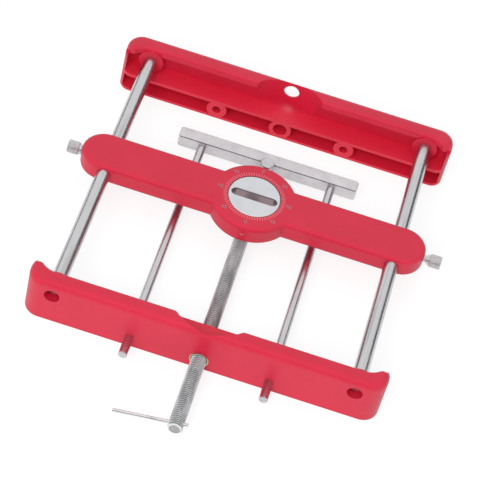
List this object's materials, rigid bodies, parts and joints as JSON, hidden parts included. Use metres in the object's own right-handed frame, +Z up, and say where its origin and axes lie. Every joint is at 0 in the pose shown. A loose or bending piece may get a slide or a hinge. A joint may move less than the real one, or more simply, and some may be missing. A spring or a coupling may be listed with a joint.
{
  "type": "doweling jig",
  "caption": "Clamp-on doweling jig: moulded end bars on steel guide rods, a sliding carrier with a turning slotted dial, and a screw-driven clamp bar on guide pins.",
  "frame": {"origin": "centre of the front bar's underside, on the bench", "axes": "+X along the bars, +Y from the clamp screw towards the rear bar, +Z up out of the dial"},
  "size_m": [0.261, 0.2958, 0.036],
  "materials": {
    "red_plastic": "raspberry red moulded plastic, matte",
    "bright_steel": "ground bright steel",
    "threaded_steel": "zinc-plated thread, grey",
    "dial_metal": "light brushed metal",
    "brass_insert": "machined",
    "dark_steel": "dark screw steel"
  },
  "bodies": {
    "frame": {"front_bar": "red_plastic", "rear_bar": "red_plastic", "guide_rod_left": "bright_steel", "guide_rod_right": "bright_steel", "rod_screw_front_left": "dark_steel", "rod_screw_front_right": "dark_steel", "rod_screw_rear_left": "dark_steel", "rod_screw_rear_right": "dark_steel", "screw_insert": "brass_insert"},
    "carrier": {"carrier": "red_plastic", "dial_lock_screw": "dark_steel"},
    "dial": {"dial_disc": "dial_metal"},
    "thumb_left": {"thumb_screw_left": "bright_steel"},
    "thumb_right": {"thumb_screw_right": "bright_steel"},
    "clamp": {"clamp_bar": "dial_metal", "guide_pin_left": "bright_steel", "guide_pin_right": "bright_steel"},
    "screw": {"clamp_screw": "threaded_steel", "tommy_bar": "bright_steel"}
  },
  "joints": [
    {"name": "carrier_slide", "type": "slide", "parent": "frame", "child": "carrier", "axis": [0, 1, 0], "range_m": [-0.0952, 0.0802]},
    {"name": "dial_turn", "type": "hinge", "parent": "carrier", "child": "dial", "pos_m": [0, 0.1154, 0.0245], "axis": [0, 0, 1], "continuous": true},
    {"name": "thumb_left_turn", "type": "hinge", "parent": "carrier", "child": "thumb_left", "pos_m": [-0.1053, 0.1154, 0.0245], "axis": [-1, 0, 0], "range_deg": [0, 1080]},
    {"name": "thumb_right_turn", "type": "hinge", "parent": "carrier", "child": "thumb_right", "pos_m": [0.1073, 0.1154, 0.0245], "axis": [1, 0, 0], "range_deg": [-900, 1080]},
    {"name": "clamp_slide", "type": "slide", "parent": "frame", "child": "clamp", "axis": [0, 1, 0], "range_m": [-0.149, 0.029]},
    {"name": "screw_turn", "type": "hinge", "parent": "clamp", "child": "screw", "pos_m": [0, 0, 0.0085], "axis": [0, 1, 0], "range_deg": [-35765, 6965]}
  ],
  "couplings": [
    {"joint": "screw_turn", "follows": "clamp_slide", "rad_per_m": 4188.8}
  ]
}
